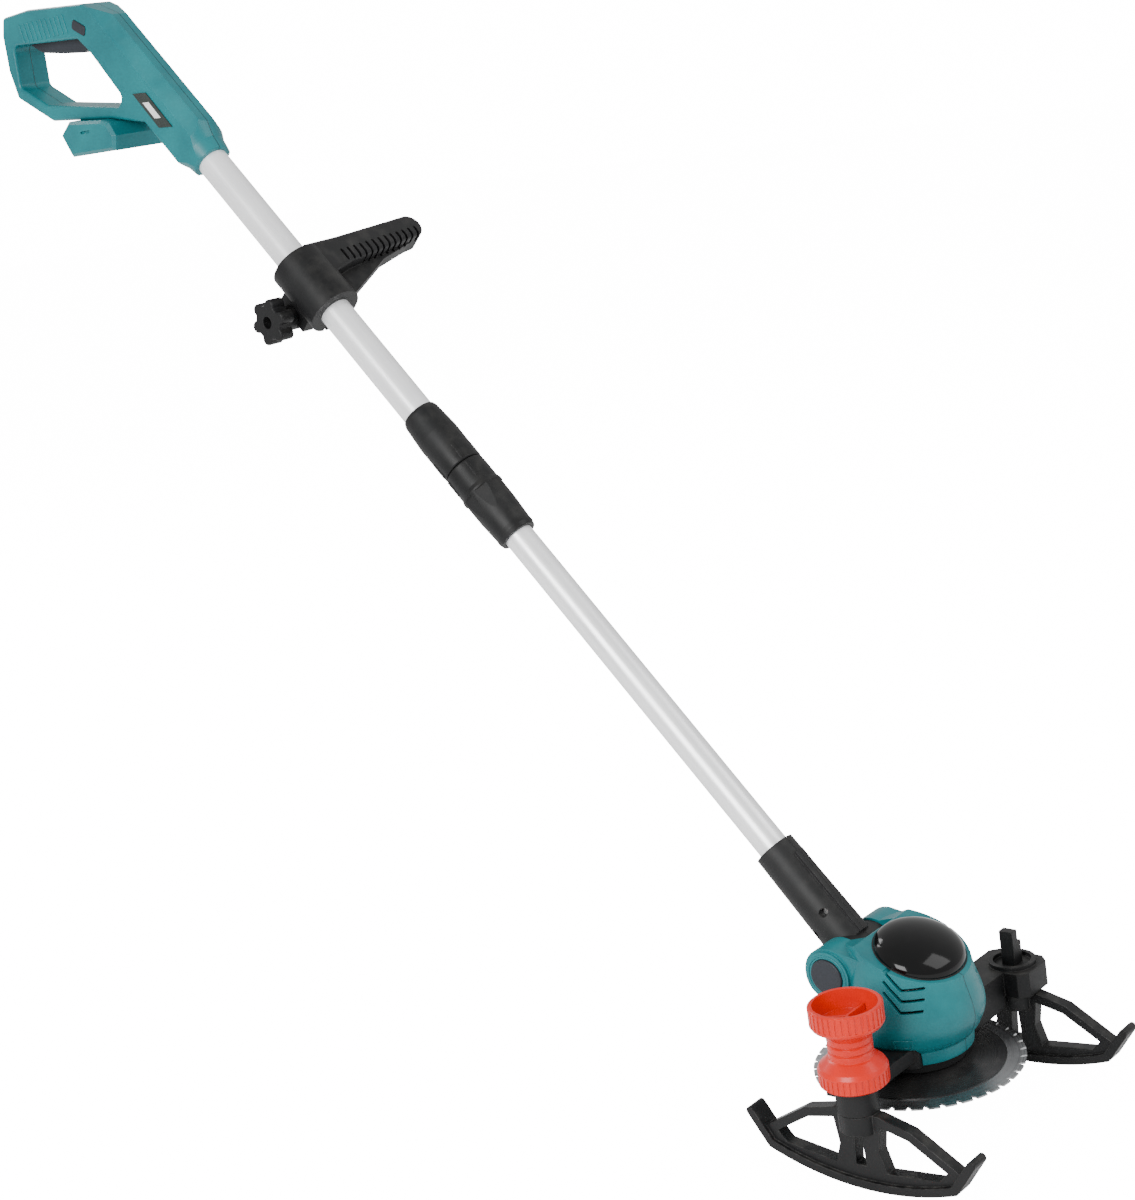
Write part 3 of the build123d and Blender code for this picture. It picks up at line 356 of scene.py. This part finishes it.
metalLooks = {
    "tubeAluminium": {
        "base": (0.97, 0.972, 0.98), "dark": (0.84, 0.845, 0.86), "rough": (0.24, 0.36),
        "depth": 0.000012, "wear": (0.92, 0.92, 0.92), "kind": "tube", "metal": 0.40},
    "discSteel": {
        "base": (0.52, 0.53, 0.54), "dark": (0.26, 0.265, 0.27), "rough": (0.22, 0.42),
        "depth": 0.00003, "wear": (0.80, 0.80, 0.80), "kind": "disc", "metal": 1.0},
    "platedSteel": {
        "base": (0.60, 0.60, 0.59), "dark": (0.36, 0.36, 0.36), "rough": (0.28, 0.46),
        "depth": 0.00002, "wear": (0.75, 0.75, 0.74), "kind": "cast", "metal": 1.0},
    "magnetDark": {
        "base": (0.10, 0.10, 0.105), "dark": (0.06, 0.06, 0.062), "rough": (0.50, 0.70),
        "depth": 0.00006, "wear": (0.22, 0.22, 0.22), "kind": "cast", "metal": 1.0},
}
lineLook = {
    "drawn": (1500.0, 1500.0, 5.0), "turned": 900.0, "castSize": 700.0,
    "streak": (0.35, 0.65), "roughStreak": (0.3, 0.7), "strength": 0.5,
    "stainSize": 26.0, "stainDetail": 5.0, "stain": (0.4, 0.7, 0.0, 0.35), "stainRough": 0.25,
    "wearWidth": 0.0006, "wearBreakup": 220.0,
}


def makeMetal(name, look):
    material, tree, shader = newMaterial(name)
    if look["kind"] == "tube":
        vector = frameVector(tree, (across, overShaft, upShaft), lineLook["drawn"], pivotPoint)
    elif look["kind"] == "disc":
        vector = ringVector(tree, bladeCentre, lineLook["turned"])
    else:
        vector = tree.nodes.new("ShaderNodeTexCoord").outputs["Object"]
    size = lineLook["castSize"] if look["kind"] == "cast" else 1.0
    lines = placeGroup(tree, "lines", Size=size)
    tree.links.new(vector, lines.inputs["Vector"])
    streak = rangeNode(tree, lines.outputs["Streak"], *lineLook["streak"])
    stain = noiseNode(tree, lineLook["stainSize"], lineLook["stainDetail"])
    stain = rangeNode(tree, stain, *lineLook["stain"])
    colour = blendColour(tree, streak, look["dark"], look["base"])
    colour = blendColour(tree, stain, colour, look["base"])
    wear = placeGroup(tree, "wear", Width=lineLook["wearWidth"], Breakup=lineLook["wearBreakup"])
    colour = blendColour(tree, wear.outputs["Mask"], colour, look["wear"])
    tree.links.new(colour, shader.inputs["Base Color"])
    rough = rangeNode(tree, lines.outputs["Streak"], *lineLook["roughStreak"], *look["rough"])
    duller = mathNode(tree, "MULTIPLY", stain, lineLook["stainRough"])
    tree.links.new(mathNode(tree, "ADD", rough, duller, True), shader.inputs["Roughness"])
    shader.inputs["Metallic"].default_value = look["metal"]
    bumpInto(tree, shader, lines.outputs["Height"], lineLook["strength"], look["depth"])
    return material


capLook = {
    "base": (0.002, 0.002, 0.0022), "film": (0.03, 0.03, 0.03), "dust": 0.06, "dustSize": 90.0,
    "peelSize": 240.0, "peelDetail": 2.0, "peelStrength": 0.12, "peelDepth": 0.0002,
    "scratchScale": (90.0, 1600.0, 60.0), "scratchDetail": 8.0, "scratch": (0.66, 0.74),
    "rough": (0.12, 0.40), "shine": 0.16, "coat": 0.15, "coatRough": 0.05,
}


def makeGlossBlack():
    # polished cap: nearly black, thin clear coat, faint orange peel and a few hairline scratches
    material, tree, shader = newMaterial("capGloss")
    peel = noiseNode(tree, capLook["peelSize"], capLook["peelDetail"])
    scratches = tree.nodes.new("ShaderNodeTexNoise")
    scratches.inputs["Scale"].default_value = 1.0
    scratches.inputs["Detail"].default_value = capLook["scratchDetail"]
    vector = frameVector(tree, (across, overShaft, upShaft), capLook["scratchScale"], pivotPoint)
    tree.links.new(vector, scratches.inputs["Vector"])
    hair = rangeNode(tree, scratches.outputs["Fac"], *capLook["scratch"])
    dust = placeGroup(tree, "dust", Amount=capLook["dust"], Size=capLook["dustSize"])
    colour = blendColour(tree, dust.outputs["Mask"], capLook["base"], capLook["film"])
    tree.links.new(colour, shader.inputs["Base Color"])
    tree.links.new(rangeNode(tree, hair, 0.0, 1.0, *capLook["rough"]), shader.inputs["Roughness"])
    shader.inputs["Specular IOR Level"].default_value = capLook["shine"]
    shader.inputs["Coat Weight"].default_value = capLook["coat"]
    shader.inputs["Coat Roughness"].default_value = capLook["coatRough"]
    bumpInto(tree, shader, peel, capLook["peelStrength"], capLook["peelDepth"])
    return material


coverLook = {
    "low": (0.030, 0.030, 0.031), "high": (0.055, 0.055, 0.057), "film": (0.30, 0.29, 0.27),
    "rings": 500.0, "streak": (0.35, 0.65), "dust": 0.14, "dustSize": 60.0,
    "rough": (0.3, 0.7, 0.22, 0.36), "metal": (0.3, 0.7, 0.55, 0.75), "strength": 0.4, "depth": 0.00003,
}


def makeCoverDark():
    # smooth turned cone over the blade, finely ringed
    material, tree, shader = newMaterial("coverDark")
    lines = placeGroup(tree, "lines", Size=1.0)
    tree.links.new(ringVector(tree, bladeCentre, coverLook["rings"]), lines.inputs["Vector"])
    grooves = lines.outputs["Streak"]
    streak = rangeNode(tree, grooves, *coverLook["streak"])
    colour = blendColour(tree, streak, coverLook["low"], coverLook["high"])
    dust = placeGroup(tree, "dust", Amount=coverLook["dust"], Size=coverLook["dustSize"])
    colour = blendColour(tree, dust.outputs["Mask"], colour, coverLook["film"])
    tree.links.new(colour, shader.inputs["Base Color"])
    tree.links.new(rangeNode(tree, grooves, *coverLook["rough"]), shader.inputs["Roughness"])
    tree.links.new(rangeNode(tree, grooves, *coverLook["metal"]), shader.inputs["Metallic"])
    bumpInto(tree, shader, lines.outputs["Height"], coverLook["strength"], coverLook["depth"])
    return material


badgeLook = {
    "mottleSize": 400.0, "mottleDetail": 3.0, "mottle": (0.35, 0.65),
    "smearSize": 90.0, "smearDetail": 4.0, "rough": (0.3, 0.7, 0.18, 0.34),
    "bumpSize": 700.0, "bumpDetail": 2.0, "strength": 0.2, "depth": 0.00002,
}


def makeBadge(name, plain, spot):
    material, tree, shader = newMaterial(name)
    mottled = noiseNode(tree, badgeLook["mottleSize"], badgeLook["mottleDetail"])
    mottled = rangeNode(tree, mottled, *badgeLook["mottle"])
    tree.links.new(blendColour(tree, mottled, plain, spot), shader.inputs["Base Color"])
    smear = noiseNode(tree, badgeLook["smearSize"], badgeLook["smearDetail"])
    tree.links.new(rangeNode(tree, smear, *badgeLook["rough"]), shader.inputs["Roughness"])
    surface = noiseNode(tree, badgeLook["bumpSize"], badgeLook["bumpDetail"])
    bumpInto(tree, shader, surface, badgeLook["strength"], badgeLook["depth"])
    return material


boardLook = {
    "base": (0.02, 0.12, 0.05), "track": (0.04, 0.22, 0.10), "size": 320.0, "edges": (0.2, 0.5),
    "rough": (0.1, 0.6, 0.25, 0.45), "strength": 0.3, "depth": 0.00005,
}


def makeBoard():
    material, tree, shader = newMaterial("boardGreen")
    tracks = tree.nodes.new("ShaderNodeTexVoronoi")
    tracks.inputs["Scale"].default_value = boardLook["size"]
    tree.links.new(tree.nodes.new("ShaderNodeTexCoord").outputs["Object"], tracks.inputs["Vector"])
    distance = tracks.outputs["Distance"]
    mask = rangeNode(tree, distance, *boardLook["edges"])
    colour = blendColour(tree, mask, boardLook["base"], boardLook["track"])
    tree.links.new(colour, shader.inputs["Base Color"])
    tree.links.new(rangeNode(tree, distance, *boardLook["rough"]), shader.inputs["Roughness"])
    bumpInto(tree, shader, distance, boardLook["strength"], boardLook["depth"])
    return material


materials = {name: makePlastic(name, look) for name, look in plasticLooks.items()}
materials.update({name: makeMetal(name, look) for name, look in metalLooks.items()})
materials["capGloss"] = makeGlossBlack()
materials["coverDark"] = makeCoverDark()
materials["badgeDark"] = makeBadge("badgeDark", (0.012, 0.018, 0.016), (0.020, 0.028, 0.024))
materials["badgePale"] = makeBadge("badgePale", (0.66, 0.67, 0.66), (0.78, 0.79, 0.78))
materials["boardGreen"] = makeBoard()
print("materials made:", len(materials))

finishOf = {
    "tealSplit": ["handle_shell_left", "handle_shell_right", "head_shell_left", "head_shell_right"],
    "tealPlain": ["battery_foot"],
    "orangeMoulding": ["height_knob"],
    "blackMoulding": ["collar_base", "twist_collar", "clamp_bush", "aux_handle", "star_knob", "skid_bracket",
                      "terminal_block", "tube_plug", "power_switch", "motor_flange"],
    "blackSplit": ["neck_half_left", "neck_half_right"],
    "skidBlack": ["skid_near", "skid_far", "stem_near", "stem_far"],
    "buttonGrey": ["lock_off_button", "pivot_button", "pivot_cap", "trigger"],
    "capGloss": ["cap_dome"],
    "badgeDark": ["badge_plate"],
    "tubeAluminium": ["upper_tube", "lower_tube"],
    "discSteel": ["blade"],
    "coverDark": ["blade_cover"],
    "magnetDark": ["motor_magnets"],
    "boardGreen": ["controller_board"],
}
finished = {node: name for name, members in finishOf.items() for node in members}
for name, piece in nodes.items():
    piece.data.materials.clear()
    piece.data.materials.append(materials[finished.get(name, "platedSteel")])
print("CAD nodes painted:", len(nodes))


sharpAngle = 30


def addPiece(name, mesh, body, finish, bevel=0.0, segments=2):
    piece = bpy.data.objects.new(name, mesh)
    bpy.context.scene.collection.objects.link(piece)
    mesh.materials.append(materials[finish])
    for face in mesh.polygons:
        face.use_smooth = True
    if bevel:
        rounding = piece.modifiers.new("rounding", "BEVEL")
        rounding.width = bevel
        rounding.segments = segments
        rounding.limit_method = "ANGLE"
        rounding.angle_limit = radians(sharpAngle)
        rounding.harden_normals = True
    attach(piece, body)
    return piece


def meshFrom(name, build):
    shape = bmesh.new()
    build(shape)
    bmesh.ops.recalc_face_normals(shape, faces=shape.faces)
    mesh = bpy.data.meshes.new(name)
    shape.to_mesh(mesh)
    shape.free()
    return mesh


def addPrism(shape, outline, push):
    # a closed outline of points, pushed along a vector
    low = [shape.verts.new(point) for point in outline]
    high = [shape.verts.new(point + push) for point in outline]
    shape.faces.new(low)
    shape.faces.new(high[::-1])
    for index in range(len(outline)):
        following = (index + 1) % len(outline)
        shape.faces.new((low[index], low[following], high[following], high[index]))


def addRing(shape, centre, first, second, normal, radii, profile, count=64):
    # a closed ring: profile points (outward, along the normal) carried round an ellipse
    rows = []
    for step in range(count):
        angle = 2 * pi * step / count
        out = first * (cos(angle) * radii[0]) + second * (sin(angle) * radii[1])
        away = out.normalized()
        rows.append([shape.verts.new(centre + out + away * side + normal * rise) for side, rise in profile])
    for step in range(count):
        near, far = rows[step], rows[(step + 1) % count]
        for index in range(len(profile)):
            following = (index + 1) % len(profile)
            shape.faces.new((near[index], far[index], far[following], near[following]))


def roundProfile(width, height, points=8):
    angles = [2 * pi * index / points for index in range(points)]
    return [(cos(angle) * width / 2, sin(angle) * height / 2) for angle in angles]


gripRibs = {"count": 11, "front": -0.034, "rear": 0.034, "low": -0.0085, "high": 0.0085, "wide": 0.0026,
            "proud": 0.0007, "lean": 0.0035, "sunk": 0.0005, "bevel": 0.0005, "segments": 3}


def buildGripRibs(shape):
    step = (gripRibs["rear"] - gripRibs["front"]) / (gripRibs["count"] - 1)
    half = gripRibs["wide"] / 2
    lean = gripRibs["lean"] / 2
    for side in (-1, 1):
        face = Vector((side * (handleSide - gripRibs["sunk"]), 0, 0))
        for index in range(gripRibs["count"]):
            y = gripRibs["front"] + step * index
            outline = [
                face + Vector((0, y - half - lean, gripRibs["low"])),
                face + Vector((0, y + half - lean, gripRibs["low"])),
                face + Vector((0, y + half + lean, gripRibs["high"])),
                face + Vector((0, y - half + lean, gripRibs["high"])),
            ]
            addPrism(shape, outline, Vector((side * (gripRibs["proud"] + gripRibs["sunk"]), 0, 0)))


addPiece("gripRibs", meshFrom("gripRibs", buildGripRibs), "handle", "tealPlain",
         gripRibs["bevel"], gripRibs["segments"])
print("grip ribs built")

# a plain pale inlay on the badge plate, shaped like the plate itself
badgeInlay = {"margin": 0.27, "thick": 0.0004, "gap": 0.2, "bevel": 0.0001, "flat": 1e-5, "apart": 1e-4,
              "lengthFirst": 10}


def buildBadgeInlay(shape):
    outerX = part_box("badge_plate")[0].x
    corners = []
    for vertex in nodes["badge_plate"].data.vertices:
        onFace = abs(vertex.co.x - outerX) < badgeInlay["flat"]
        if onFace and all((vertex.co - other).length > badgeInlay["apart"] for other in corners):
            corners.append(vertex.co.copy())
    middle = sum(corners, Vector()) / len(corners)
    # lower pair first, and each pair from under to over the shaft
    order = upShaft * badgeInlay["lengthFirst"] + overShaft
    corners.sort(key=lambda point: (point - middle).dot(order))
    ordered = [corners[0], corners[1], corners[3], corners[2]]
    share = 1 - badgeInlay["margin"] * 2
    lift = across * badgeInlay["thick"]
    outline = [middle + (point - middle) * share - lift * badgeInlay["gap"] for point in ordered]
    addPrism(shape, outline, -lift)


addPiece("badgeInlay", meshFrom("badgeInlay", buildBadgeInlay), "handle", "badgePale",
         badgeInlay["bevel"])
print("badge inlay built")

# thin gasket where the cap meets the slanted top of the housing
domeRim = {"wide": 0.0018, "high": 0.0012, "tilt": 21.6, "steps": 96}
tilt = radians(domeRim["tilt"])
rimNormal = Vector((0, -sin(tilt), cos(tilt)))
rimAlong = Vector((0, cos(tilt), sin(tilt)))


def buildDomeRim(shape):
    # the cap's own lowest level and widest reach give the rim
    points = [vertex.co for vertex in nodes["cap_dome"].data.vertices]
    level = min(point.dot(rimNormal) for point in points)
    along = [point.dot(rimAlong) for point in points]
    wide = max(point.x for point in points)
    centre = rimNormal * level + rimAlong * (max(along) + min(along)) / 2
    radii = (wide, (max(along) - min(along)) / 2)
    profile = roundProfile(domeRim["wide"], domeRim["high"])
    addRing(shape, centre, across, rimAlong, rimNormal, radii, profile, domeRim["steps"])


addPiece("domeRim", meshFrom("domeRim", buildDomeRim), "head", "blackMoulding")
print("dome rim built")

# the frame of a small moulded window, low on the near flank of the housing
flankClip = {"turn": 204.0, "wide": 0.015, "high": 0.0085, "bar": 0.0016, "proud": 0.0008, "sunk": 0.001,
             "above": 0.0765, "radius": 0.052, "reach": 0.1, "steps": 6, "bevel": 0.0002}


def buildFlankClip(shape):
    start = radians(flankClip["turn"])
    spread = flankClip["wide"] / flankClip["radius"]
    base = groundZ + flankClip["above"]

    def spot(share, rise, push):
        # lies on the housing's own flank, found from outside
        angle = start + spread * (share - 0.5)
        outward = Vector((cos(angle), sin(angle), 0))
        middle = Vector((bladeCentre.x, bladeCentre.y, base + rise))
        place = nodes["head_shell_right"].ray_cast(middle + outward * flankClip["reach"], -outward)[1]
        return place + outward * push

    def addBlock(first, second, low, high):
        corners = [(first, low), (second, low), (second, high), (first, high)]
        back = [shape.verts.new(spot(share, rise, -flankClip["sunk"])) for share, rise in corners]
        front = [shape.verts.new(spot(share, rise, flankClip["proud"])) for share, rise in corners]
        shape.faces.new(back[::-1])
        shape.faces.new(front)
        for index in range(4):
            following = (index + 1) % 4
            shape.faces.new((back[index], back[following], front[following], front[index]))

    bar, top = flankClip["bar"], flankClip["high"]
    side = bar / flankClip["wide"]
    # lower bar, upper bar, left post and right post; the bars follow the flank in short steps
    for left, right, low, high, count in ((0.0, 1.0, 0.0, bar, flankClip["steps"]),
                                          (0.0, 1.0, top - bar, top, flankClip["steps"]),
                                          (0.0, side, 0.0, top, 1),
                                          (1.0 - side, 1.0, 0.0, top, 1)):
        for step in range(count):
            first = left + (right - left) * step / count
            second = left + (right - left) * (step + 1) / count
            addBlock(first, second, low, high)


addPiece("flankClip", meshFrom("flankClip", buildFlankClip), "head", "tealPlain",
         flankClip["bevel"])
print("flank clip built")

# raised rings round the button and the cap of the pivot
pivotRing = {"radius": 0.0166, "wide": 0.0018, "high": 0.0012, "buttonProud": 0.0015, "capProud": 0.001}


def buildPivotRings(shape):
    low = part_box("pivot_button")[0].x + pivotRing["buttonProud"]
    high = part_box("pivot_cap")[1].x - pivotRing["capProud"]
    radii = (pivotRing["radius"], pivotRing["radius"])
    profile = roundProfile(pivotRing["wide"], pivotRing["high"])
    for x, side in ((low, -1), (high, 1)):
        centre = Vector((x, pivotPoint.y, pivotPoint.z))
        addRing(shape, centre, Vector((0, 1, 0)), Vector((0, 0, 1)), across * side, radii, profile)


addPiece("pivotRings", meshFrom("pivotRings", buildPivotRings), "head", "tealPlain")
print("pivot rings built")

# the floor and the world are brighter to the camera than to the object, for a white ground
stageLook = {"size": 30.0, "tint": (0.90, 0.90, 0.90), "paper": (0.95, 0.95, 0.95), "paperSize": 3.0,
             "paperDetail": 3.0, "paperMask": (0.3, 0.7), "rough": 0.9, "white": (1.0, 1.0, 1.0, 1.0),
             "glow": 15.0, "light": 0.80, "backdrop": 16.0}
floorMesh = bpy.data.meshes.new("floor")
half = stageLook["size"] / 2
corners = [(-half, -half, groundZ), (half, -half, groundZ), (half, half, groundZ), (-half, half, groundZ)]
floorMesh.from_pydata(corners, [], [(0, 1, 2, 3)])
floor = bpy.data.objects.new("floor", floorMesh)
bpy.context.scene.collection.objects.link(floor)
floorMaterial, floorTree, floorShader = newMaterial("paleFloor")
paper = noiseNode(floorTree, stageLook["paperSize"], stageLook["paperDetail"])
paper = rangeNode(floorTree, paper, *stageLook["paperMask"])
paper = blendColour(floorTree, paper, stageLook["tint"], stageLook["paper"])
floorTree.links.new(paper, floorShader.inputs["Base Color"])
floorShader.inputs["Roughness"].default_value = stageLook["rough"]
floorShader.inputs["Emission Color"].default_value = stageLook["white"]
floorSeen = floorTree.nodes.new("ShaderNodeLightPath").outputs["Is Camera Ray"]
floorGlow = mathNode(floorTree, "MULTIPLY", floorSeen, stageLook["glow"])
floorTree.links.new(floorGlow, floorShader.inputs["Emission Strength"])
floorMesh.materials.append(floorMaterial)

world = bpy.data.worlds.new("studio")
bpy.context.scene.world = world
world.use_nodes = True
worldTree = world.node_tree
background = worldTree.nodes["Background"]
background.inputs["Color"].default_value = stageLook["white"]
worldSeen = worldTree.nodes.new("ShaderNodeLightPath").outputs["Is Camera Ray"]
brightness = rangeNode(worldTree, worldSeen, 0.0, 1.0, stageLook["light"], stageLook["backdrop"])
worldTree.links.new(brightness, background.inputs["Strength"])

lampLooks = {
    "keySoftbox": {"place": (-3.0, -1.3, 0.9), "size": 1.7, "power": 130.0},
    "fillSoftbox": {"place": (1.2, -3.2, 1.4), "size": 2.0, "power": 44.0},
    "rimSoftbox": {"place": (0.6, 2.6, 1.8), "size": 1.4, "power": 54.0},
}
aimPoint = Vector((0, -0.4, -0.45))
for name, look in lampLooks.items():
    lamp = bpy.data.lights.new(name, "AREA")
    lamp.energy = look["power"]
    lamp.size = look["size"]
    holder = bpy.data.objects.new(name, lamp)
    holder.location = look["place"]
    holder.rotation_mode = "QUATERNION"
    holder.rotation_quaternion = (aimPoint - Vector(look["place"])).to_track_quat("-Z", "Y")
    bpy.context.scene.collection.objects.link(holder)

cameraLook = {
    "place": (-1.231, -1.702, -0.1234), "lens": 64.5, "sensor": 36.0, "near": 0.05, "far": 60.0,
    "right": (0.6563, -0.7391, -0.1524), "up": (0.2723, 0.0435, 0.9613), "back": (-0.7038, -0.6723, 0.2297),
}
camera = bpy.data.objects.new("camera", bpy.data.cameras.new("camera"))
camera.data.lens = cameraLook["lens"]
camera.data.sensor_width = cameraLook["sensor"]
camera.data.sensor_fit = "AUTO"
camera.data.clip_start = cameraLook["near"]
camera.data.clip_end = cameraLook["far"]
turn = Matrix((cameraLook["right"], cameraLook["up"], cameraLook["back"])).transposed()
camera.rotation_mode = "QUATERNION"
camera.rotation_quaternion = turn.to_quaternion()
camera.location = cameraLook["place"]
bpy.context.scene.collection.objects.link(camera)
bpy.context.scene.camera = camera
print("stage, lights and camera placed")
